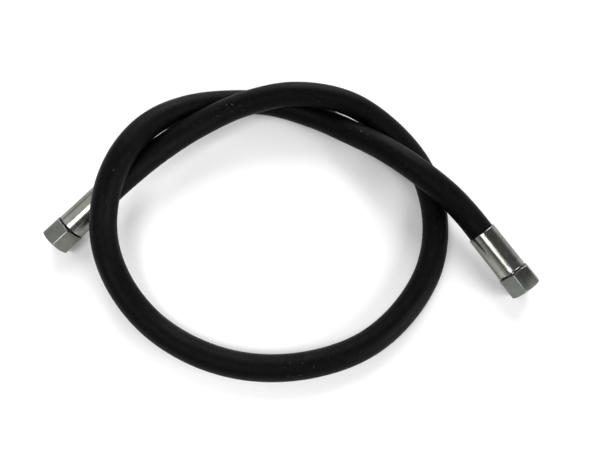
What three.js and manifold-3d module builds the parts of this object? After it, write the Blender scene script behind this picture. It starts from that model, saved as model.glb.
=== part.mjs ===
// Hydraulic hose assembly: two-wire-braid rubber hose, DN10, with a crimped swivel fitting on
// each end, lying on a floor in one loop whose ends are tucked over and under each other.
// Millimetres, +Z up, floor at z = 0. The origin is below the middle of the two end fittings.

import * as THREE from 'three';
import { mergeVertices } from 'three/addons/utils/BufferGeometryUtils.js';
import Module from 'manifold-3d';

const wasm = await Module();
wasm.setup();

// ---------------------------------------------------------------- driving dimensions

// Hose plies from the bore outwards: inner and outer radius of each.
const PLIES = [
  { name: 'inner_tube', inner: 4.75, outer: 6.0, look: 'tube' },
  { name: 'inner_wire_braid', inner: 6.2, outer: 6.8, look: 'wire' },
  { name: 'braid_separator', inner: 7.0, outer: 7.3, look: 'tube' },
  { name: 'outer_wire_braid', inner: 7.5, outer: 8.1, look: 'wire' },
  { name: 'hose_cover', inner: 8.3, outer: 9.55, look: 'cover' },
];
const PLY_SIDES = 10;
const PLY_STEPS = 48;
const PATH_DIVISIONS = 2000;   // lengths in which the path is measured, to space the steps evenly

// Lengths along a fitting, measured outwards from the ferrule's open mouth.
const HOSE_END = 30;        // the plies run this far into the ferrule
const COVER_END = 5;        // the cover is cut back to here, so the ferrule grips the wire
const STRAIGHT_LEAD = 14;   // the hose leaves the mouth straight for this far
const FERRULE_LENGTH = 35;
const NUT_START = 35.9;
const NUT_FACE = 51.4;

const FERRULE_RADIUS = 10.6;
const FERRULE_CHAMFER = 0.6;
const FERRULE_LIP_RADIUS = 5.6;
const FERRULE_LIP_THICKNESS = 2.8;
const FERRULE_RIB_RADIUS = 8.35;
const FERRULE_GROOVE_RADIUS = 8.9;
const FERRULE_RIBS = [8, 14, 20, 26];
const FERRULE_RIB_WIDTH = 2.4;
const SKIRT_RADIUS = 9.85;  // clear bore over the cover at the mouth
const SKIRT_DEPTH = 6;

const STEM_BORE = 3.6;
const STEM_TAIL_START = 3.5;
const STEM_BARB_RADIUS = 4.3;
const STEM_ROOT_RADIUS = 4.05;
const STEM_BARBS = 5;
const STEM_BARB_PITCH = 5;
const STEM_BARB_RISE = 3.5;     // length of a barb's outward slope
const STEM_COLLAR_RADIUS = 6.4;
const STEM_COLLAR_START = 30.4;
const STEM_LIP_GROOVE_RADIUS = 5.3;
const LIP_CLEARANCE = 0.3;      // on both sides of the ferrule's lip

const WIRE_CENTRE = 38.6;   // the thrust wire joins nut and stem here
const WIRE_RING_RADIUS = 6.55;
const WIRE_RADIUS = 0.55;
const WIRE_GROOVE_HALF = 0.8;

const CONE_START = 41.4;    // where the 60 degree cone starts
const CONE_SLOPE = Math.tan(THREE.MathUtils.degToRad(30));
const CONE_TIP_RADIUS = 4.7;
const CONE_LENGTH = (STEM_COLLAR_RADIUS - CONE_TIP_RADIUS) / CONE_SLOPE;
const O_RING_CENTRE = 42.9;
const O_RING_RING_RADIUS = 5.4;
const O_RING_RADIUS = 0.6;
const O_RING_GROOVE_HALF = 0.8;
const O_RING_GROOVE_FLOOR = 4.55;

const NUT_ACROSS_FLATS = 22;
const NUT_SIDES = 6;
const NUT_CORNER_RADIUS = NUT_ACROSS_FLATS / 2 / Math.cos(Math.PI / NUT_SIDES);
const NUT_CHAMFER_START = 10.9;      // radius where the chamfer of each end starts
const NUT_CHAMFER_SLOPE = Math.tan(THREE.MathUtils.degToRad(30));
const NUT_WALL = 5;                  // rear wall that holds the thrust wire
const NUT_HOLE_RADIUS = 6.75;
const NUT_THREAD_RADIUS = 7.475;     // minor radius of a G 3/8 thread
const NUT_MOUTH_RADIUS = 8.6;

const ROUND = 18;           // segments round every turned piece
const SMALL_ROUND = 8;      // segments round the section of a wire or an O-ring
const OVERCUT = 1;          // how far a cutter reaches past the faces that it cuts
const WELD_DISTANCE = 1e-4; // points closer than this are one point of a solid

// Each end: where the ferrule's mouth is, which way the fitting points in plan, and how far it dips.
const ENDS = [
  { tag: 'a', mouth: [-116.2, -82.5, 21.5], yaw: -85, dip: 12 },
  { tag: 'b', mouth: [74.3, 122.0, 18.9], yaw: 0, dip: 9 },
];

// The hose's centreline between its two straight leads, chosen by hand: from end a over the top,
// down the right side, round the bottom, up the left side and over end a's ferrule, to end b.
const ROUTE = [
  [-121, -36, 26],
  [-121, 2, 27],
  [-114, 42, 29],
  [-97, 79, 30],
  [-68, 110, 24],
  [-32, 125, 14],
  [8, 124, 10],
  [44, 106, 9.6],
  [70, 78, 9.6],
  [84, 42, 9.6],
  [86, 4, 9.6],
  [74, -34, 9.6],
  [51, -68, 9.6],
  [20, -93, 10],
  [-17, -108, 12],
  [-53, -110, 20],
  [-82, -101, 31],
  [-106, -81, 42],
  [-125, -55, 44],
  [-138, -25, 36.5],
  [-141, 8, 23],
  [-131, 38, 14],
  [-111, 65, 11],
  [-82, 86, 10],
  [-50, 99, 15],
  [-17, 107, 26],
  [14, 113, 30.5],
  [40, 119, 27],
];

// ---------------------------------------------------------------- helpers

const LOOKS = {
  cover: { color: 0x0b0b0c, roughness: 0.72, metalness: 0 },
  tube: { color: 0x151516, roughness: 0.65, metalness: 0 },
  wire: { color: 0xa9905c, roughness: 0.4, metalness: 1 },
  zinc: { color: 0xb9bcbd, roughness: 0.32, metalness: 1 },
  spring: { color: 0x8d9092, roughness: 0.35, metalness: 1 },
  seal: { color: 0x101010, roughness: 0.55, metalness: 0 },
};

function named(name, geometry, look) {
  const mesh = new THREE.Mesh(geometry, new THREE.MeshStandardMaterial(LOOKS[look]));
  mesh.name = name;
  return mesh;
}

function toSolid(geometry) {
  const bare = geometry.index ? geometry.toNonIndexed() : geometry.clone();
  bare.deleteAttribute('normal');
  bare.deleteAttribute('uv');
  const welded = mergeVertices(bare, WELD_DISTANCE);
  return new wasm.Manifold(new wasm.Mesh({
    numProp: 3,
    vertProperties: new Float32Array(welded.attributes.position.array),
    triVerts: new Uint32Array(welded.index.array),
  }));
}

function toGeometry(solid) {
  const mesh = solid.getMesh();
  const geometry = new THREE.BufferGeometry();
  geometry.setAttribute('position', new THREE.BufferAttribute(mesh.vertProperties, 3));
  geometry.setIndex(new THREE.BufferAttribute(mesh.triVerts, 1));
  return geometry;
}

// A ring or plug turned about the fitting's axis. Points are [radius, length along the fitting],
// and the outline closes on itself. A plug's outline starts and ends on the axis.
function turned(outline, closed = true) {
  const points = outline.map(([radius, along]) => new THREE.Vector2(radius, along));
  if (closed) points.push(points[0].clone());
  if (THREE.ShapeUtils.area(points) < 0) points.reverse();
  return new THREE.LatheGeometry(points, ROUND);
}

function ringOutline(ringRadius, along, sectionRadius) {
  return Array.from({ length: SMALL_ROUND }, (_, i) => {
    const angle = (i * 2 * Math.PI) / SMALL_ROUND;
    return [ringRadius + sectionRadius * Math.cos(angle), along + sectionRadius * Math.sin(angle)];
  });
}

function circlePoints(radius, sides) {
  return Array.from({ length: sides }, (_, i) => {
    const angle = (i * 2 * Math.PI) / sides;
    return new THREE.Vector2(radius * Math.cos(angle), radius * Math.sin(angle));
  });
}

// ---------------------------------------------------------------- the hose

function axisOf(end) {
  const yaw = THREE.MathUtils.degToRad(end.yaw);
  const dip = THREE.MathUtils.degToRad(end.dip);
  return new THREE.Vector3(Math.cos(yaw) * Math.cos(dip), Math.sin(yaw) * Math.cos(dip), -Math.sin(dip));
}

function alongAxis(end, distance) {
  return new THREE.Vector3(...end.mouth).addScaledVector(axisOf(end), distance);
}

function hosePath() {
  const [a, b] = ENDS;
  const leadA = [alongAxis(a, HOSE_END), alongAxis(a, 0), alongAxis(a, -STRAIGHT_LEAD)];
  const leadB = [alongAxis(b, -STRAIGHT_LEAD), alongAxis(b, 0), alongAxis(b, HOSE_END)];
  const middle = ROUTE.map((point) => new THREE.Vector3(...point));
  const path = new THREE.CatmullRomCurve3([...leadA, ...middle, ...leadB], false, 'centripetal');
  path.arcLengthDivisions = PATH_DIVISIONS;
  return path;
}

function plyTube(ply, path) {
  const section = new THREE.Shape(circlePoints(ply.outer, PLY_SIDES));
  section.holes.push(new THREE.Path(circlePoints(ply.inner, PLY_SIDES).reverse()));
  return new THREE.ExtrudeGeometry(section, { steps: PLY_STEPS, bevelEnabled: false, extrudePath: path });
}

// The cover stops just inside each ferrule, where the hose maker's tool has skived it off.
function skived(tube) {
  const cutterRadius = FERRULE_RADIUS + OVERCUT;
  let solid = toSolid(tube);
  for (const end of ENDS) {
    const cutter = turned([
      [0, COVER_END],
      [cutterRadius, COVER_END],
      [cutterRadius, HOSE_END + OVERCUT],
      [0, HOSE_END + OVERCUT],
    ], false);
    cutter.applyMatrix4(fittingMatrix(end));
    solid = solid.subtract(toSolid(cutter));
  }
  return toGeometry(solid);
}

function hose() {
  const group = new THREE.Group();
  const path = hosePath();
  for (const ply of PLIES) {
    const tube = plyTube(ply, path);
    const geometry = ply.name === 'hose_cover' ? skived(tube) : tube;
    group.add(named(ply.name, geometry, ply.look));
  }
  return group;
}

// ---------------------------------------------------------------- an end fitting
// Built about its own Y axis, with Y running out of the hose and Z on the upper side.

function fittingMatrix(end) {
  const out = axisOf(end);
  const side = new THREE.Vector3().crossVectors(out, new THREE.Vector3(0, 0, 1)).normalize();
  const up = new THREE.Vector3().crossVectors(side, out);
  return new THREE.Matrix4().makeBasis(side, out, up).setPosition(...end.mouth);
}

function ferruleGeometry() {
  const lipStart = FERRULE_LENGTH - FERRULE_LIP_THICKNESS;
  const outline = [
    [FERRULE_RADIUS - FERRULE_CHAMFER / 2, 0],
    [FERRULE_RADIUS, FERRULE_CHAMFER / 2],
    [FERRULE_RADIUS, FERRULE_LENGTH - FERRULE_CHAMFER],
    [FERRULE_RADIUS - FERRULE_CHAMFER, FERRULE_LENGTH],
    [FERRULE_LIP_RADIUS, FERRULE_LENGTH],
    [FERRULE_LIP_RADIUS, lipStart],
    [FERRULE_GROOVE_RADIUS, lipStart],
  ];
  for (const rib of [...FERRULE_RIBS].reverse()) {
    outline.push([FERRULE_GROOVE_RADIUS, rib + FERRULE_RIB_WIDTH]);
    outline.push([FERRULE_RIB_RADIUS, rib + FERRULE_RIB_WIDTH / 2]);
    outline.push([FERRULE_RIB_RADIUS, rib - FERRULE_RIB_WIDTH / 2]);
    outline.push([FERRULE_GROOVE_RADIUS, rib - FERRULE_RIB_WIDTH / 2]);
  }
  outline.push([FERRULE_GROOVE_RADIUS, SKIRT_DEPTH], [SKIRT_RADIUS, SKIRT_DEPTH], [SKIRT_RADIUS, 0]);
  return turned(outline);
}

function stemGeometry() {
  const outline = [[STEM_BORE, STEM_TAIL_START], [STEM_ROOT_RADIUS, STEM_TAIL_START]];
  for (let barb = 0; barb < STEM_BARBS; barb += 1) {
    const start = STEM_TAIL_START + barb * STEM_BARB_PITCH;
    outline.push([STEM_BARB_RADIUS, start + STEM_BARB_RISE]);
    outline.push([STEM_ROOT_RADIUS, start + STEM_BARB_PITCH]);
  }
  const lipStart = FERRULE_LENGTH - FERRULE_LIP_THICKNESS - LIP_CLEARANCE;
  const lipEnd = FERRULE_LENGTH + LIP_CLEARANCE;
  const cone = (along) => STEM_COLLAR_RADIUS - (along - CONE_START) * CONE_SLOPE;
  const sealStart = O_RING_CENTRE - O_RING_GROOVE_HALF;
  const sealEnd = O_RING_CENTRE + O_RING_GROOVE_HALF;
  outline.push(
    [STEM_ROOT_RADIUS, STEM_COLLAR_START],
    [STEM_COLLAR_RADIUS, STEM_COLLAR_START],
    [STEM_COLLAR_RADIUS, lipStart],
    [STEM_LIP_GROOVE_RADIUS, lipStart],
    [STEM_LIP_GROOVE_RADIUS, lipEnd],
    [STEM_COLLAR_RADIUS, lipEnd],
    [STEM_COLLAR_RADIUS, WIRE_CENTRE - WIRE_GROOVE_HALF],
    [WIRE_RING_RADIUS - WIRE_GROOVE_HALF, WIRE_CENTRE - WIRE_GROOVE_HALF],
    [WIRE_RING_RADIUS - WIRE_GROOVE_HALF, WIRE_CENTRE + WIRE_GROOVE_HALF],
    [STEM_COLLAR_RADIUS, WIRE_CENTRE + WIRE_GROOVE_HALF],
    [STEM_COLLAR_RADIUS, CONE_START],
    [cone(sealStart), sealStart],
    [O_RING_GROOVE_FLOOR, sealStart],
    [O_RING_GROOVE_FLOOR, sealEnd],
    [cone(sealEnd), sealEnd],
    [CONE_TIP_RADIUS, CONE_START + CONE_LENGTH],
    [STEM_BORE, CONE_START + CONE_LENGTH],
  );
  return turned(outline);
}

// A hexagon bar from the rear wall to the face, standing on a flat, before its ends are turned.
function nutBar() {
  const hexagon = new THREE.Shape(circlePoints(NUT_CORNER_RADIUS, NUT_SIDES));
  const bar = new THREE.ExtrudeGeometry(hexagon, { depth: NUT_FACE - NUT_START, bevelEnabled: false });
  bar.rotateX(-Math.PI / 2);
  bar.translate(0, NUT_START, 0);
  return bar;
}

function nutGeometry() {
  const reach = NUT_CORNER_RADIUS + OVERCUT;
  const slope = (reach - NUT_CHAMFER_START) * NUT_CHAMFER_SLOPE;
  const envelope = turned([
    [0, NUT_START],
    [NUT_CHAMFER_START, NUT_START],
    [reach, NUT_START + slope],
    [reach, NUT_FACE - slope],
    [NUT_CHAMFER_START, NUT_FACE],
    [0, NUT_FACE],
  ], false);
  const mouthChamfer = NUT_MOUTH_RADIUS - NUT_THREAD_RADIUS;
  const bore = turned([
    [0, NUT_START - OVERCUT],
    [NUT_HOLE_RADIUS, NUT_START - OVERCUT],
    [NUT_HOLE_RADIUS, WIRE_CENTRE - WIRE_GROOVE_HALF],
    [WIRE_RING_RADIUS + WIRE_GROOVE_HALF, WIRE_CENTRE - WIRE_GROOVE_HALF],
    [WIRE_RING_RADIUS + WIRE_GROOVE_HALF, WIRE_CENTRE + WIRE_GROOVE_HALF],
    [NUT_HOLE_RADIUS, WIRE_CENTRE + WIRE_GROOVE_HALF],
    [NUT_HOLE_RADIUS, NUT_START + NUT_WALL],
    [NUT_THREAD_RADIUS, NUT_START + NUT_WALL],
    [NUT_THREAD_RADIUS, NUT_FACE - mouthChamfer],
    [NUT_MOUTH_RADIUS + OVERCUT, NUT_FACE + OVERCUT],
    [0, NUT_FACE + OVERCUT],
  ], false);
  return toGeometry(toSolid(nutBar()).intersect(toSolid(envelope)).subtract(toSolid(bore)));
}

function fitting(end) {
  const group = new THREE.Group();
  group.applyMatrix4(fittingMatrix(end));
  const thrustWire = turned(ringOutline(WIRE_RING_RADIUS, WIRE_CENTRE, WIRE_RADIUS));
  const oRing = turned(ringOutline(O_RING_RING_RADIUS, O_RING_CENTRE, O_RING_RADIUS));
  group.add(
    named(`ferrule_${end.tag}`, ferruleGeometry(), 'zinc'),
    named(`stem_${end.tag}`, stemGeometry(), 'zinc'),
    named(`swivel_nut_${end.tag}`, nutGeometry(), 'zinc'),
    named(`thrust_wire_${end.tag}`, thrustWire, 'spring'),
    named(`cone_o_ring_${end.tag}`, oRing, 'seal'),
  );
  return group;
}

const assembly = new THREE.Group();
assembly.add(hose());
for (const end of ENDS) assembly.add(fitting(end));

export default assembly;
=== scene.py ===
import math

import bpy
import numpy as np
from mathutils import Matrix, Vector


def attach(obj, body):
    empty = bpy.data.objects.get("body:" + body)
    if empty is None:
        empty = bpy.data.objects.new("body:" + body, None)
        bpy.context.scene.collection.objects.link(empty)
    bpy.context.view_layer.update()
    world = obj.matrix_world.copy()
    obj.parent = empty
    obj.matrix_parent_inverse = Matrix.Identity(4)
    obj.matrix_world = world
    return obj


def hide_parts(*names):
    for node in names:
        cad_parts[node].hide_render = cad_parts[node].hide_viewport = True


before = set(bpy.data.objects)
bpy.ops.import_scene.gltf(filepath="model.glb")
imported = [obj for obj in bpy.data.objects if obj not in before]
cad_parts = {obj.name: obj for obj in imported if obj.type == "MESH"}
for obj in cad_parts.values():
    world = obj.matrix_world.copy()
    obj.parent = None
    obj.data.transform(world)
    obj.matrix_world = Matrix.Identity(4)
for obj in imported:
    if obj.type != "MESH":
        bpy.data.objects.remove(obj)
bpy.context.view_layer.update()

# Looks of a hydraulic hose assembly: a black rubber hose lying in one loop whose ends are tucked
# over and under each other, with a crimped ferrule and a hexagon swivel nut on each end.
# Metres, +Z up, floor at z = 0. Every fitting is built about its own Y axis, which runs outwards
# from the ferrule's open mouth, with Z on its upper side.

MM = 0.001
TURN = 2 * math.pi

# ---------------------------------------------------------------- the hose

# Plies from the bore outwards: inner and outer radius.
PLIES = {
    "inner_tube": (0.00475, 0.00600),
    "inner_wire_braid": (0.00620, 0.00680),
    "braid_separator": (0.00700, 0.00730),
    "outer_wire_braid": (0.00750, 0.00810),
    "hose_cover": (0.00830, 0.00955),
}
HOSE_END = 0.030         # the plies run this far into the ferrule
COVER_END = 0.005        # the cover is cut back to here
STRAIGHT_LEAD = 0.014    # the hose leaves the mouth straight for this far
COVER_SIDES = 40
COVER_STEP = 0.002
PLY_SIDES = 24
PLY_STEP = 0.004
CURVE_SAMPLES = 60       # points in each span of the route before it is spaced evenly

ENDS = {
    "a": {"mouth": (-0.1162, -0.0825, 0.0215), "yaw": -85, "dip": 12},
    "b": {"mouth": (0.0743, 0.1220, 0.0189), "yaw": 0, "dip": 9},
}

# The hose's centreline between its two straight leads: from end a over the top, down the right
# side, round the bottom, up the left side and over end a's ferrule, to end b.
ROUTE = [
    (-0.1210, -0.0360, 0.0260),
    (-0.1210, 0.0020, 0.0270),
    (-0.1140, 0.0420, 0.0290),
    (-0.0970, 0.0790, 0.0300),
    (-0.0680, 0.1100, 0.0240),
    (-0.0320, 0.1250, 0.0140),
    (0.0080, 0.1240, 0.0100),
    (0.0440, 0.1060, 0.0096),
    (0.0700, 0.0780, 0.0096),
    (0.0840, 0.0420, 0.0096),
    (0.0860, 0.0040, 0.0096),
    (0.0740, -0.0340, 0.0096),
    (0.0510, -0.0680, 0.0096),
    (0.0200, -0.0930, 0.0100),
    (-0.0170, -0.1080, 0.0120),
    (-0.0530, -0.1100, 0.0200),
    (-0.0820, -0.1010, 0.0310),
    (-0.1060, -0.0810, 0.0420),
    (-0.1250, -0.0550, 0.0440),
    (-0.1380, -0.0250, 0.0365),
    (-0.1410, 0.0080, 0.0230),
    (-0.1310, 0.0380, 0.0140),
    (-0.1110, 0.0650, 0.0110),
    (-0.0820, 0.0860, 0.0100),
    (-0.0500, 0.0990, 0.0150),
    (-0.0170, 0.1070, 0.0260),
    (0.0140, 0.1130, 0.0305),
    (0.0400, 0.1190, 0.0270),
]

# ---------------------------------------------------------------- a fitting, along its own axis

FERRULE_LENGTH = 0.035
FERRULE_RADIUS = 0.0106
FERRULE_CHAMFER = 0.0006
FERRULE_LIP_RADIUS = 0.0056
FERRULE_LIP_THICKNESS = 0.0028
FERRULE_RIB_RADIUS = 0.00835
FERRULE_GROOVE_RADIUS = 0.0089
FERRULE_RIBS = (0.008, 0.014, 0.020, 0.026)
FERRULE_RIB_WIDTH = 0.0024
SKIRT_RADIUS = 0.00985
SKIRT_DEPTH = 0.006

CRIMP_DIES = 8
CRIMP_DEPTH = 0.00006        # how far the dies press in the sleeve
CRIMP_RIDGE = math.radians(1.7)   # half width of the ridge left between two dies
CRIMP_MARGIN = 0.0010        # uncrimped length at each end of the sleeve
CRIMP_RAMP = 0.0040
CRIMP_ROWS = 6

STEM_BORE = 0.0036
STEM_TAIL_START = 0.0035
STEM_BARB_RADIUS = 0.0043
STEM_ROOT_RADIUS = 0.00405
STEM_BARBS = 5
STEM_BARB_PITCH = 0.005
STEM_BARB_RISE = 0.0035      # length of a barb's slope, the rest is its step
STEM_COLLAR_RADIUS = 0.0064
STEM_COLLAR_START = 0.0304
STEM_LIP_GROOVE_RADIUS = 0.0053
LIP_CLEARANCE = 0.0003

WIRE_CENTRE = 0.0386
WIRE_RING_RADIUS = 0.00655
WIRE_RADIUS = 0.00055
WIRE_GROOVE_HALF = 0.0008

CONE_START = 0.0414
CONE_TIP_RADIUS = 0.0047
CONE_SLOPE = math.tan(math.radians(30))
CONE_END = CONE_START + (STEM_COLLAR_RADIUS - CONE_TIP_RADIUS) / CONE_SLOPE
O_RING_CENTRE = 0.0429
O_RING_RING_RADIUS = 0.0054
O_RING_RADIUS = 0.0006
O_RING_GROOVE_HALF = 0.0008
O_RING_GROOVE_FLOOR = 0.00455

NUT_START = 0.0359
NUT_FACE = 0.0514
NUT_SIDES = 6
NUT_HALF_FLATS = 0.011
NUT_CORNER_ROUND = 0.0005
NUT_CORNER_STEPS = 4
NUT_FLAT_STEPS = 16
NUT_CHAMFER_START = 0.0109
NUT_CHAMFER_SLOPE = math.tan(math.radians(30))
NUT_WALL_END = 0.0409
NUT_HOLE_RADIUS = 0.00675
NUT_MOUTH_RADIUS = 0.0086
THREAD_MINOR_RADIUS = 0.007475
THREAD_MAJOR_RADIUS = 0.008331
THREAD_PITCH = 0.001337
THREAD_RELIEF = 0.0014       # plain groove between the thread and the rear wall
THREAD_ROWS_PER_PITCH = 8

EDGE_ROUND = 0.00018         # small round on every machined edge
EDGE_STEPS = 3
ROUND_SHARE = 0.4            # a round takes up at most this share of the edge beside it
TURNED_SIDES = 96
FERRULE_SIDES = 192
RING_SECTION_SIDES = 16

# ---------------------------------------------------------------- camera, floor and light

CAMERA_PLACE = (0.1120, -0.0731, 0.4341)
CAMERA_TARGET = (-0.0127, 0.0208, 0.0120)
CAMERA_LENS = 36
CAMERA_SENSOR = 36
CAMERA_NEAR = 0.01
FLOOR_HALF = 12.0
FLOOR_CELLS = 24
# The studio is dark overhead, so that upward faces of the metal look dark, and pale at the horizon.
ZENITH_COLOUR = (0.12, 0.12, 0.125)
HORIZON_COLOUR = (0.82, 0.82, 0.83)
HORIZON_TOP = 0.06           # heights of a direction between which pale turns to dark
ZENITH_BOTTOM = 0.50
# Place, size and power of each soft light: the first makes the bright band along the ferrules, the
# second the paler sides that face it.
SOFTBOXES = {
    "band": ((0.156, -0.585, 1.15), (0.56, 0.56), 7.0),
    "pale_side": ((-0.96, -0.64, 1.12), (1.2, 1.2), 4.2),
}
# Direction and strength of the two broad lights on the floor. They stand where the metal doesn't
# show them to the camera.
FLOOR_LIGHTS = {
    "floor_right": ((0.80, 0.35, 0.49), 2.7),
    "floor_left": ((-0.60, 0.60, 0.53), 2.7),
}
FLOOR_LIGHT_ANGLE = math.radians(44)

# ---------------------------------------------------------------- finishes

# Helices on the straightened hose: how many lie side by side, and the pitch of each.
COVER_WEAVE = (72, 0.0021)
COVER_WRAP = (1, 0.042)
BRAID_WIRES = (96, 0.00042)
BRAID_BANDS = (12, 0.0034)
WRAP_SHARPNESS = 60.0        # power that narrows the wrap's wave to a thin overlap

# Fineness and detail of each noise.
NOISES = {
    "cover_mottle": (320.0, 5.0),
    "cover_sheen": (45.0, 3.0),
    "cover_scuff": (900.0, 2.0),
    "dust_speck": (700.0, 0.0),
    "dust_patch": (16.0, 1.0),
    "rubber_bloom": (260.0, 4.0),
    "rubber_grain": (2200.0, 3.0),
    "brass_tint": (500.0, 3.0),
    "plate_cloud": (150.0, 4.0),
    "plate_grain": (2600.0, 2.0),
    "plate_pits": (4200.0, 1.0),
    "edge_wear": (900.0, 3.0),
    "floor_drift": (3.0, 2.0),
}
BUMP_DEPTHS = {
    "cover_weave": 0.05 * MM,
    "cover_mottle": 0.06 * MM,
    "cover_wrap": 0.10 * MM,
    "rubber_grain": 0.02 * MM,
    "braid_wires": 0.10 * MM,
    "braid_bands": 0.15 * MM,
    "plate_grain": 0.004 * MM,
    "plate_pits": 0.0015 * MM,
}
SCUFF_STRETCH = (1.0, 1.0, 0.25)

COVER_SPECULAR = 0.06
COVER_COLOURS = ((0.0005, 0.0005, 0.0006), (0.0017, 0.0017, 0.0019))
COVER_ROUGHNESS = (0.40, 0.54)
SCUFF_ROUGHNESS = (-0.05, 0.07)    # added to the cover's roughness
DUST_COLOUR = (0.050, 0.049, 0.045)
DUST_SPECKS = (0.78, 0.84)         # noise levels between which a speck appears
DUST_PATCHES = (0.52, 0.64)
RUBBER_COLOURS = ((0.008, 0.008, 0.009), (0.020, 0.020, 0.021))
RUBBER_VARIATION = 0.07
TUBE_ROUGHNESS = 0.55
SEAL_ROUGHNESS = 0.40
BRASS_COLOURS = ((0.42, 0.31, 0.15), (0.66, 0.54, 0.32))
BRAID_ROUGHNESS = (0.28, 0.50)
PLATE_SPECULAR_TINT = (0.5, 0.5, 0.48, 1)
PLATE_VARIATION = 0.03
GRAIN_ROUGHNESS = (-0.015, 0.025)  # added to the plate's roughness
WORN_EDGE_COLOUR = (0.62, 0.62, 0.60)
EDGE_BREAKS = (0.1, 0.9)
# Darkest and lightest colour, roughness, and stretch of the grain.
PLATES = {
    "zinc_steel": ((0.22, 0.225, 0.20), (0.28, 0.285, 0.26), 0.20, (1.0, 0.008, 1.0)),
    "nut_steel": ((0.135, 0.142, 0.127), (0.17, 0.177, 0.16), 0.30, (1.0, 0.015, 1.0)),
    "spring_wire": ((0.36, 0.37, 0.38), (0.50, 0.50, 0.50), 0.35, (1.0, 1.0, 1.0)),
}
FLOOR_FINISH = {"Roughness": 0.75, "Specular IOR Level": 0.25}
FLOOR_COLOURS = ((0.90, 0.90, 0.90), (0.93, 0.93, 0.93))


# ================================================================ shapes

def fitting_matrix(end):
    """Where a fitting's own frame stands in the frame that all the pieces share."""
    yaw = math.radians(end["yaw"])
    dip = math.radians(end["dip"])
    out = Vector((math.cos(yaw) * math.cos(dip), math.sin(yaw) * math.cos(dip), -math.sin(dip)))
    side = out.cross(Vector((0, 0, 1))).normalized()
    turn = Matrix((side, out, side.cross(out))).transposed().to_4x4()
    return Matrix.Translation(end["mouth"]) @ turn


def along_fitting(end, distance):
    return tuple(fitting_matrix(end) @ Vector((0, distance, 0)))


def centripetal_curve(points):
    """Centripetal Catmull-Rom curve through the points."""
    points = np.array(points)
    first = 2 * points[0] - points[1]
    last = 2 * points[-1] - points[-2]
    padded = np.vstack([first, points, last])
    t = np.linspace(0, 1, CURVE_SAMPLES, endpoint=False)[:, None]
    spans = []
    for p0, p1, p2, p3 in zip(padded, padded[1:], padded[2:], padded[3:]):
        d0, d1, d2 = (math.sqrt(np.linalg.norm(q - p)) for p, q in ((p0, p1), (p1, p2), (p2, p3)))
        leave = ((p1 - p0) / d0 - (p2 - p0) / (d0 + d1) + (p2 - p1) / d1) * d1
        arrive = ((p2 - p1) / d1 - (p3 - p1) / (d1 + d2) + (p3 - p2) / d2) * d1
        square = 3 * (p2 - p1) - 2 * leave - arrive
        cube = 2 * (p1 - p2) + leave + arrive
        spans.append(p1 + leave * t + square * t**2 + cube * t**3)
    return np.vstack([*spans, points[-1:]])


def distances(points):
    steps = np.linalg.norm(np.diff(points, axis=0), axis=1)
    return np.concatenate([[0], np.cumsum(steps)])


def evenly_spaced(points, start, stop, step):
    """Points of the curve from one distance along it to another, and those distances."""
    travelled = distances(points)
    wanted = np.linspace(start, stop, 1 + round((stop - start) / step))
    return np.stack([np.interp(wanted, travelled, points[:, i]) for i in range(3)], axis=1), wanted


def carried_frames(points):
    """Two directions across the curve at each point, carried along it without twist."""
    tangents = np.gradient(points, axis=0)
    tangents /= np.linalg.norm(tangents, axis=1)[:, None]
    across = np.cross(tangents[0], (0, 0, 1))
    frames = []
    for tangent in tangents:
        across = across - tangent * np.dot(across, tangent)
        across /= np.linalg.norm(across)
        frames.append((across, np.cross(tangent, across)))
    return np.array(frames)


def mesh_object(name, vertices, faces):
    mesh = bpy.data.meshes.new(name)
    mesh.from_pydata([tuple(v) for v in vertices], [], faces)
    mesh.validate()
    mesh.polygons.foreach_set("use_smooth", [True] * len(mesh.polygons))
    piece = bpy.data.objects.new(name, mesh)
    bpy.context.scene.collection.objects.link(piece)
    return piece


def grid_faces(rows, columns, closed_rows):
    """Quads between neighbouring rows of a grid whose columns always close on themselves."""
    faces = []
    for row in range(rows if closed_rows else rows - 1):
        below = row * columns
        above = (row + 1) % rows * columns
        for column in range(columns):
            beside = (column + 1) % columns
            faces.append((below + column, below + beside, above + beside, above + column))
    return faces


def hose_ply(name, path, start, stop, sides, step):
    """A closed tube along the hose. Its attribute 'straight' is the place on the hose laid straight."""
    inner, outer = PLIES[name]
    points, travelled = evenly_spaced(path, start, stop, step)
    frames = carried_frames(points)
    angles = np.arange(sides) * TURN / sides
    directions = np.stack([np.cos(angles), np.sin(angles)], axis=1)
    across = np.einsum("ca,rax->rcx", directions, frames)
    walls = []
    straight = []
    for radius, order in ((outer, slice(None)), (inner, slice(None, None, -1))):
        walls.append((points[:, None] + radius * across)[order])
        flat = np.zeros((len(points), sides, 3))
        flat[:, :, :2] = radius * directions
        flat[:, :, 2] = travelled[:, None]
        straight.append(flat[order])
    vertices = np.vstack(walls).reshape(-1, 3)
    piece = mesh_object(name + "_look", vertices, grid_faces(2 * len(points), sides, True))
    layer = piece.data.attributes.new("straight", "FLOAT_VECTOR", "POINT")
    layer.data.foreach_set("vector", np.vstack(straight).ravel())
    return piece, points


def rounded(outline, radius):
    """A closed outline with a small arc at each corner, and how far each point is on such an arc."""
    points = np.array(outline)
    result = []
    wear = []
    for before, corner, after in zip(np.roll(points, 1, 0), points, np.roll(points, -1, 0)):
        back = np.linalg.norm(before - corner)
        ahead = np.linalg.norm(after - corner)
        reach = min(radius, ROUND_SHARE * back, ROUND_SHARE * ahead)
        entry = corner + (before - corner) * reach / back
        leave = corner + (after - corner) * reach / ahead
        for t in np.linspace(0, 1, EDGE_STEPS + 1):
            result.append((1 - t) ** 2 * entry + 2 * t * (1 - t) * corner + t**2 * leave)
            wear.append(math.sin(math.pi * t))
    return result, wear


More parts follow.
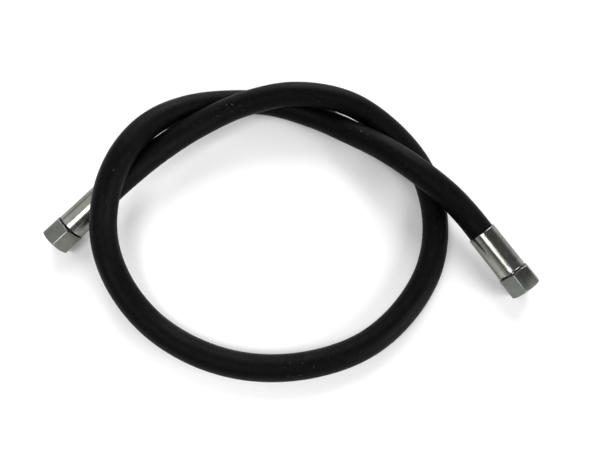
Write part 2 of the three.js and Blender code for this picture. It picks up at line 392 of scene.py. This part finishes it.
def revolved(name, directions, outlines, wears):
    """A closed piece from one outline of (radius, along) for each direction."""
    vertices = []
    for row in range(len(outlines[0])):
        for (x, z), outline in zip(directions, outlines):
            radius, along = outline[row]
            vertices.append((radius * x, along, radius * z))
    piece = mesh_object(name, vertices, grid_faces(len(outlines[0]), len(directions), True))
    layer = piece.data.attributes.new("wear", "FLOAT", "POINT")
    layer.data.foreach_set("value", np.array(wears).T.ravel())
    return piece


def circle_directions(sides):
    angles = np.arange(sides) * TURN / sides
    return np.stack([np.cos(angles), np.sin(angles)], axis=1)


def turned(name, outline, sides=TURNED_SIDES, edge=EDGE_ROUND):
    points, wear = rounded(outline, edge)
    return revolved(name, circle_directions(sides), [points] * sides, [wear] * sides)


def wire_ring(name, ring_radius, along, section_radius):
    """A round ring about the fitting's axis."""
    section = []
    for i in range(RING_SECTION_SIDES):
        angle = i * TURN / RING_SECTION_SIDES
        section.append((ring_radius + section_radius * math.cos(angle),
                        along + section_radius * math.sin(angle)))
    wear = [0.0] * RING_SECTION_SIDES
    return revolved(name, circle_directions(TURNED_SIDES), [section] * TURNED_SIDES,
                    [wear] * TURNED_SIDES)


# ---------------------------------------------------------------- the pieces of a fitting

def crimp_depth(along, angle):
    """How far the sleeve is pressed in: all round but for a ridge between each two dies."""
    inside = min(along - CRIMP_MARGIN, FERRULE_LENGTH - CRIMP_MARGIN - along) / CRIMP_RAMP
    share = min(max(inside, 0), 1)
    share = share * share * (3 - 2 * share)
    pitch = TURN / CRIMP_DIES
    off_ridge = (angle + pitch / 2) % pitch - pitch / 2
    return CRIMP_DEPTH * share * (1 - math.exp(-(off_ridge / CRIMP_RIDGE) ** 2))


def ferrule_bore():
    """The bore's outline from the nut's side to the mouth."""
    lip_start = FERRULE_LENGTH - FERRULE_LIP_THICKNESS
    outline = [(FERRULE_LIP_RADIUS, FERRULE_LENGTH), (FERRULE_LIP_RADIUS, lip_start),
               (FERRULE_GROOVE_RADIUS, lip_start)]
    half = FERRULE_RIB_WIDTH / 2
    for rib in reversed(FERRULE_RIBS):
        outline.append((FERRULE_GROOVE_RADIUS, rib + FERRULE_RIB_WIDTH))
        outline.append((FERRULE_RIB_RADIUS, rib + half))
        outline.append((FERRULE_RIB_RADIUS, rib - half))
        outline.append((FERRULE_GROOVE_RADIUS, rib - half))
    outline += [(FERRULE_GROOVE_RADIUS, SKIRT_DEPTH), (SKIRT_RADIUS, SKIRT_DEPTH), (SKIRT_RADIUS, 0)]
    return outline


def ferrule(name):
    """The crimped sleeve, with the flats and ridges that the eight dies of the press leave."""
    half = FERRULE_CHAMFER / 2
    ramps = np.linspace(CRIMP_MARGIN, CRIMP_MARGIN + CRIMP_RAMP, CRIMP_ROWS)
    rows = [*ramps, *(FERRULE_LENGTH - ramps[::-1])]
    outline = [(FERRULE_RADIUS - half, 0), (FERRULE_RADIUS, half)]
    outline += [(FERRULE_RADIUS, along) for along in rows]
    outline += [(FERRULE_RADIUS, FERRULE_LENGTH - FERRULE_CHAMFER),
                (FERRULE_RADIUS - FERRULE_CHAMFER, FERRULE_LENGTH), *ferrule_bore()]
    points, wear = rounded(outline, EDGE_ROUND)
    outlines = []
    for side in range(FERRULE_SIDES):
        angle = side * TURN / FERRULE_SIDES
        pressed = [(radius - crimp_depth(along, angle) * (radius > SKIRT_RADIUS), along)
                   for radius, along in points]
        outlines.append(pressed)
    return revolved(name, circle_directions(FERRULE_SIDES), outlines, [wear] * FERRULE_SIDES)


def stem(name):
    """The insert: barbs in the hose, a collar with two grooves, and the cone with its seal groove."""
    outline = [(STEM_BORE, STEM_TAIL_START), (STEM_ROOT_RADIUS, STEM_TAIL_START)]
    for barb in range(STEM_BARBS):
        start = STEM_TAIL_START + barb * STEM_BARB_PITCH
        outline.append((STEM_BARB_RADIUS, start + STEM_BARB_RISE))
        outline.append((STEM_ROOT_RADIUS, start + STEM_BARB_PITCH))
    groove = WIRE_RING_RADIUS - WIRE_GROOVE_HALF
    groove_start = WIRE_CENTRE - WIRE_GROOVE_HALF
    groove_end = WIRE_CENTRE + WIRE_GROOVE_HALF
    lip_start = FERRULE_LENGTH - FERRULE_LIP_THICKNESS - LIP_CLEARANCE
    lip_end = FERRULE_LENGTH + LIP_CLEARANCE
    seal_start = O_RING_CENTRE - O_RING_GROOVE_HALF
    seal_end = O_RING_CENTRE + O_RING_GROOVE_HALF
    seal_radii = [STEM_COLLAR_RADIUS - (place - CONE_START) * CONE_SLOPE
                  for place in (seal_start, seal_end)]
    outline += [
        (STEM_ROOT_RADIUS, STEM_COLLAR_START), (STEM_COLLAR_RADIUS, STEM_COLLAR_START),
        (STEM_COLLAR_RADIUS, lip_start), (STEM_LIP_GROOVE_RADIUS, lip_start),
        (STEM_LIP_GROOVE_RADIUS, lip_end), (STEM_COLLAR_RADIUS, lip_end),
        (STEM_COLLAR_RADIUS, groove_start), (groove, groove_start),
        (groove, groove_end), (STEM_COLLAR_RADIUS, groove_end),
        (STEM_COLLAR_RADIUS, CONE_START), (seal_radii[0], seal_start),
        (O_RING_GROOVE_FLOOR, seal_start), (O_RING_GROOVE_FLOOR, seal_end),
        (seal_radii[1], seal_end), (CONE_TIP_RADIUS, CONE_END), (STEM_BORE, CONE_END),
    ]
    return turned(name, outline)


def hexagon_columns():
    """Unit directions round the nut, the bar's radius in each, and how worn the bar is there."""
    directions = []
    radii = []
    worn = []
    turn = TURN / NUT_SIDES
    half_side = NUT_HALF_FLATS * math.tan(turn / 2)
    straight = half_side - NUT_CORNER_ROUND
    corner = (NUT_HALF_FLATS, half_side)
    leave = (corner[0] - NUT_CORNER_ROUND * math.sin(turn),
             corner[1] + NUT_CORNER_ROUND * math.cos(turn))
    for flat in range(NUT_SIDES):
        middle = turn * (flat + 0.5)
        steps = [(NUT_HALF_FLATS, place) for place in np.linspace(-straight, straight, NUT_FLAT_STEPS)]
        worn += [0.0] * NUT_FLAT_STEPS + [1.0] * (NUT_CORNER_STEPS - 1)
        for t in np.linspace(0, 1, NUT_CORNER_STEPS + 1)[1:-1]:
            weights = ((1 - t) ** 2, 2 * t * (1 - t), t**2)
            points = ((NUT_HALF_FLATS, straight), corner, leave)
            steps.append(tuple(sum(w * p[i] for w, p in zip(weights, points)) for i in range(2)))
        for out, beside in steps:
            x = out * math.cos(middle) - beside * math.sin(middle)
            z = out * math.sin(middle) + beside * math.cos(middle)
            radius = math.hypot(x, z)
            directions.append((x / radius, z / radius))
            radii.append(radius)
    return directions, radii, worn


def thread_radius(along, angle):
    """The internal thread's surface: rounded V grooves on a helix."""
    phase = (along / THREAD_PITCH - angle / TURN) % 1
    height = 0.5 - 0.5 * math.cos(TURN * phase)
    return THREAD_MINOR_RADIUS + (THREAD_MAJOR_RADIUS - THREAD_MINOR_RADIUS) * height


def threaded_bore(angle):
    """The bore from the rear wall to the mouth, seen at one angle round it."""
    start = NUT_WALL_END + THREAD_RELIEF
    end = NUT_FACE - EDGE_ROUND
    rows = round((end - start) / THREAD_PITCH * THREAD_ROWS_PER_PITCH)
    outline = [(THREAD_MAJOR_RADIUS, NUT_WALL_END), (THREAD_MAJOR_RADIUS, start)]
    for along in np.linspace(start, end, rows)[1:]:
        countersink = NUT_MOUTH_RADIUS - (NUT_FACE - along)
        outline.append((max(thread_radius(along, angle), countersink), along))
    return outline


def nut(name):
    """The swivel nut: a hexagon bar with both ends turned to a chamfer, and a threaded bore."""
    directions, radii, worn = hexagon_columns()
    outlines = []
    wears = []
    groove_start = WIRE_CENTRE - WIRE_GROOVE_HALF
    groove_end = WIRE_CENTRE + WIRE_GROOVE_HALF
    groove = WIRE_RING_RADIUS + WIRE_GROOVE_HALF
    for (x, z), radius, corner in zip(directions, radii, worn):
        drop = (radius - NUT_CHAMFER_START) * NUT_CHAMFER_SLOPE
        shell = [
            (NUT_MOUTH_RADIUS, NUT_FACE), (NUT_CHAMFER_START, NUT_FACE), (radius, NUT_FACE - drop),
            (radius, NUT_START + drop), (NUT_CHAMFER_START, NUT_START), (NUT_HOLE_RADIUS, NUT_START),
            (NUT_HOLE_RADIUS, groove_start), (groove, groove_start), (groove, groove_end),
            (NUT_HOLE_RADIUS, groove_end), (NUT_HOLE_RADIUS, NUT_WALL_END),
        ]
        points, wear = rounded(shell, EDGE_ROUND)
        bore = threaded_bore(math.atan2(z, x))
        outlines.append([*points, *bore])
        edges = [max(share, corner * (reach > NUT_HALF_FLATS))
                 for share, (reach, _) in zip(wear, points)]
        wears.append([*edges, *([0.0] * len(bore))])
    return revolved(name, directions, outlines, wears)


# ================================================================ materials

class Look:
    """One procedural material, built up around its Principled shader with short calls."""

    def __init__(self, name, constants):
        self.material = bpy.data.materials.new(name)
        self.material.use_nodes = True
        self.tree = self.material.node_tree
        self.shader = self.tree.nodes["Principled BSDF"]
        for socket, value in constants.items():
            self.shader.inputs[socket].default_value = value

    def node(self, kind, inputs, **settings):
        node = self.tree.nodes.new(kind)
        for setting, value in settings.items():
            setattr(node, setting, value)
        for socket, value in inputs.items():
            if isinstance(value, bpy.types.NodeSocket):
                self.tree.links.new(value, node.inputs[socket])
            else:
                node.inputs[socket].default_value = value
        return node

    def drive(self, socket, value):
        self.tree.links.new(value, self.shader.inputs[socket])

    def place(self):
        return self.node("ShaderNodeTexCoord", {}).outputs["Object"]

    def attribute(self, name, output):
        return self.node("ShaderNodeAttribute", {}, attribute_name=name).outputs[output]

    def stretched(self, vector, scale):
        return self.node("ShaderNodeMapping", {"Vector": vector, "Scale": scale}).outputs["Vector"]

    def noise(self, vector, name):
        scale, detail = NOISES[name]
        inputs = {"Vector": vector, "Scale": scale, "Detail": detail}
        return self.node("ShaderNodeTexNoise", inputs).outputs["Fac"]

    def maths(self, operation, *values):
        return self.node("ShaderNodeMath", dict(enumerate(values)), operation=operation).outputs[0]

    def spread(self, value, low, high, start=0.3, stop=0.7):
        inputs = {"Value": value, "From Min": start, "From Max": stop, "To Min": low, "To Max": high}
        return self.node("ShaderNodeMapRange", inputs).outputs["Result"]

    def ramp(self, factor, low, high, start=0.35, stop=0.65):
        node = self.node("ShaderNodeValToRGB", {"Fac": factor})
        for element, position, colour in zip(node.color_ramp.elements, (start, stop), (low, high)):
            element.position = position
            element.color = (*colour, 1)
        return node.outputs["Color"]

    def mix(self, factor, low, high):
        node = self.node("ShaderNodeMix", {}, data_type="RGBA")
        for socket, value in zip((0, 6, 7), (factor, low, high)):
            if isinstance(value, bpy.types.NodeSocket):
                self.tree.links.new(value, node.inputs[socket])
            else:
                node.inputs[socket].default_value = (*value, 1)
        return node.outputs[2]

    def bump(self, height, name, normal=None):
        inputs = {"Height": height, "Distance": BUMP_DEPTHS[name]}
        if normal is not None:
            inputs["Normal"] = normal
        return self.node("ShaderNodeBump", inputs).outputs["Normal"]


def helix_wave(look, place, threads, pitch):
    """A wave from 0 to 1 that winds round the straightened hose: threads turns side by side."""
    parts = look.node("ShaderNodeSeparateXYZ", {"Vector": place})
    angle = look.maths("ARCTAN2", parts.outputs["Y"], parts.outputs["X"])
    around = look.maths("MULTIPLY", angle, threads)
    along = look.maths("MULTIPLY", parts.outputs["Z"], TURN / pitch)
    wave = look.maths("SINE", look.maths("ADD", around, along))
    return look.maths("MULTIPLY_ADD", wave, 0.5, 0.5)


def crossed_helices(look, place, operation, threads, pitch):
    """Two sets of helices that wind in opposite directions, put together by one operation."""
    right = helix_wave(look, place, threads, pitch)
    left = helix_wave(look, place, -threads, pitch)
    return look.maths(operation, right, left)


def cover_look():
    """Black wrapped-cloth rubber: a fine weave pressed in, the wrap's overlap, scuffs and dust."""
    look = Look("cover_rubber", {"Metallic": 0.0, "Specular IOR Level": COVER_SPECULAR})
    place = look.attribute("straight", "Vector")
    weave = crossed_helices(look, place, "MULTIPLY", *COVER_WEAVE)
    overlap = look.maths("POWER", helix_wave(look, place, *COVER_WRAP), WRAP_SHARPNESS)
    mottle = look.noise(place, "cover_mottle")
    sheen = look.noise(place, "cover_sheen")
    scuff = look.noise(look.stretched(place, SCUFF_STRETCH), "cover_scuff")
    specks = look.spread(look.noise(place, "dust_speck"), 0.0, 1.0, *DUST_SPECKS)
    patches = look.spread(look.noise(place, "dust_patch"), 0.0, 1.0, *DUST_PATCHES)
    dust = look.maths("MULTIPLY", specks, patches)
    look.drive("Base Color", look.mix(dust, look.ramp(mottle, *COVER_COLOURS), DUST_COLOUR))
    worn = look.maths("ADD", look.spread(sheen, *COVER_ROUGHNESS), look.spread(scuff, *SCUFF_ROUGHNESS))
    look.drive("Roughness", worn)
    fine = look.bump(weave, "cover_weave")
    grain = look.bump(mottle, "cover_mottle", fine)
    look.drive("Normal", look.bump(overlap, "cover_wrap", grain))
    return look.material


def rubber_look(name, roughness):
    """Smooth moulded rubber with a faint bloom."""
    look = Look(name, {"Metallic": 0.0})
    place = look.place()
    bloom = look.noise(place, "rubber_bloom")
    look.drive("Base Color", look.ramp(bloom, *RUBBER_COLOURS))
    varied = look.spread(bloom, roughness - RUBBER_VARIATION, roughness + RUBBER_VARIATION)
    look.drive("Roughness", varied)
    look.drive("Normal", look.bump(look.noise(place, "rubber_grain"), "rubber_grain"))
    return look.material


def braid_look():
    """Brass-coated steel wires in two sets of helices that cross each other."""
    look = Look("braid_wire", {"Metallic": 1.0})
    place = look.attribute("straight", "Vector")
    wires = crossed_helices(look, place, "MAXIMUM", *BRAID_WIRES)
    bands = crossed_helices(look, place, "MULTIPLY", *BRAID_BANDS)
    look.drive("Base Color", look.ramp(look.noise(place, "brass_tint"), *BRASS_COLOURS))
    look.drive("Roughness", look.spread(bands, *BRAID_ROUGHNESS, 0.0, 1.0))
    look.drive("Normal", look.bump(bands, "braid_bands", look.bump(wires, "braid_wires")))
    return look.material


def plated_look(name, dark, light, roughness, stretch):
    """Zinc plate: slightly cloudy, with the grain of drawing or turning, and brighter worn edges."""
    look = Look(name, {"Metallic": 1.0, "Specular Tint": PLATE_SPECULAR_TINT})
    place = look.place()
    cloud = look.noise(place, "plate_cloud")
    lines = look.noise(look.stretched(place, stretch), "plate_grain")
    pits = look.noise(place, "plate_pits")
    breaks = look.spread(look.noise(place, "edge_wear"), *EDGE_BREAKS)
    broken = look.maths("MULTIPLY", look.attribute("wear", "Fac"), breaks)
    look.drive("Base Color", look.mix(broken, look.ramp(cloud, dark, light), WORN_EDGE_COLOUR))
    clouded = look.spread(cloud, roughness - PLATE_VARIATION, roughness + PLATE_VARIATION)
    look.drive("Roughness", look.maths("ADD", clouded, look.spread(lines, *GRAIN_ROUGHNESS)))
    ruled = look.bump(lines, "plate_grain")
    look.drive("Normal", look.bump(pits, "plate_pits", ruled))
    return look.material


def floor_look():
    look = Look("studio_floor", FLOOR_FINISH)
    look.drive("Base Color", look.ramp(look.noise(look.place(), "floor_drift"), *FLOOR_COLOURS))
    return look.material


# ================================================================ studio

def camera():
    data = bpy.data.cameras.new("photo_camera")
    data.lens = CAMERA_LENS
    data.sensor_fit = "HORIZONTAL"
    data.sensor_width = CAMERA_SENSOR
    data.clip_start = CAMERA_NEAR
    item = bpy.data.objects.new("photo_camera", data)
    item.location = CAMERA_PLACE
    away = Vector(CAMERA_TARGET) - Vector(CAMERA_PLACE)
    item.rotation_euler = away.to_track_quat("-Z", "Y").to_euler()
    bpy.context.scene.collection.objects.link(item)
    bpy.context.scene.camera = item


def softbox(name, place, size, power):
    """A rectangular soft light that faces the middle of the object."""
    data = bpy.data.lights.new(name, "AREA")
    data.shape = "RECTANGLE"
    data.size, data.size_y = size
    data.energy = power
    item = bpy.data.objects.new(name, data)
    item.location = place
    item.rotation_euler = (-Vector(place)).to_track_quat("-Z", "Y").to_euler()
    bpy.context.scene.collection.objects.link(item)


def broad_light(name, direction, strength):
    """A light with no falloff, as wide in the sky as a large softbox."""
    data = bpy.data.lights.new(name, "SUN")
    data.energy = strength
    data.angle = FLOOR_LIGHT_ANGLE
    item = bpy.data.objects.new(name, data)
    item.location = direction
    item.rotation_euler = (-Vector(direction)).to_track_quat("-Z", "Y").to_euler()
    bpy.context.scene.collection.objects.link(item)


def sky():
    """The studio's walls and ceiling: pale at the horizon and below it, dark overhead."""
    world = bpy.data.worlds.new("studio")
    world.use_nodes = True
    nodes = world.node_tree.nodes
    links = world.node_tree.links
    direction = nodes.new("ShaderNodeTexCoord")
    parts = nodes.new("ShaderNodeSeparateXYZ")
    ramp = nodes.new("ShaderNodeValToRGB")
    stops = ((HORIZON_TOP, HORIZON_COLOUR), (ZENITH_BOTTOM, ZENITH_COLOUR))
    for element, (height, colour) in zip(ramp.color_ramp.elements, stops):
        element.position = height
        element.color = (*colour, 1)
    links.new(direction.outputs["Generated"], parts.inputs["Vector"])
    links.new(parts.outputs["Z"], ramp.inputs["Fac"])
    links.new(ramp.outputs["Color"], nodes["Background"].inputs["Color"])
    bpy.context.scene.world = world


def floor():
    places = np.linspace(-FLOOR_HALF, FLOOR_HALF, FLOOR_CELLS + 1)
    vertices = [(x, y, 0.0) for y in places for x in places]
    row = FLOOR_CELLS + 1
    faces = []
    for j in range(FLOOR_CELLS):
        for i in range(FLOOR_CELLS):
            first = j * row + i
            faces.append((first, first + 1, first + row + 1, first + row))
    item = mesh_object("studio_floor", vertices, faces)
    item.data.materials.append(floor_look())


def studio():
    sky()
    bpy.context.scene.view_settings.view_transform = "Standard"
    for name, (place, size, power) in SOFTBOXES.items():
        softbox(name, place, size, power)
    for name, (direction, strength) in FLOOR_LIGHTS.items():
        broad_light(name, direction, strength)
    floor()


# ================================================================ the assembly

def finish_piece(piece, body, node, material):
    piece.data.materials.append(material)
    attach(piece, body)
    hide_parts(node)


def build_fitting(tag, end, looks):
    """All five pieces of one fitting. The nut turns; the others are fast to the hose."""
    makers = [
        ("ferrule", ferrule, "hose", "zinc_steel"),
        ("stem", stem, "hose", "zinc_steel"),
        ("swivel_nut", nut, "nut_" + tag, "nut_steel"),
        ("thrust_wire", lambda name: wire_ring(name, WIRE_RING_RADIUS, WIRE_CENTRE, WIRE_RADIUS),
         "hose", "spring_wire"),
        ("cone_o_ring", lambda name: wire_ring(name, O_RING_RING_RADIUS, O_RING_CENTRE, O_RING_RADIUS),
         "hose", "seal_rubber"),
    ]
    pieces = []
    for part, make, body, slot in makers:
        node = part + "_" + tag
        piece = make(node + "_look")
        piece.matrix_world = fitting_matrix(end)
        finish_piece(piece, body, node, looks[slot])
        pieces.append(piece)
    return pieces


def build_hose(looks, far_pieces):
    """The five plies on one path. The argument far_pieces is not used."""
    a = ENDS["a"]
    b = ENDS["b"]
    lead_a = [along_fitting(a, reach) for reach in (HOSE_END, 0, -STRAIGHT_LEAD)]
    lead_b = [along_fitting(b, reach) for reach in (-STRAIGHT_LEAD, 0, HOSE_END)]
    path = centripetal_curve([*lead_a, *ROUTE, *lead_b])
    whole = distances(path)[-1]
    skived = HOSE_END - COVER_END
    for name in PLIES:
        if name == "hose_cover":
            piece, centre = hose_ply(name, path, skived, whole - skived, COVER_SIDES, COVER_STEP)
            slot = "cover_rubber"
        else:
            piece, _ = hose_ply(name, path, 0, whole, PLY_SIDES, PLY_STEP)
            slot = "braid_wire" if "wire" in name else "tube_rubber"
        finish_piece(piece, "hose", name, looks[slot])


camera()
LOOKS = {
    "cover_rubber": cover_look(),
    "tube_rubber": rubber_look("tube_rubber", TUBE_ROUGHNESS),
    "seal_rubber": rubber_look("seal_rubber", SEAL_ROUGHNESS),
    "braid_wire": braid_look(),
    **{name: plated_look(name, *plate) for name, plate in PLATES.items()},
}
build_fitting("a", ENDS["a"], LOOKS)
build_hose(LOOKS, build_fitting("b", ENDS["b"], LOOKS))
studio()
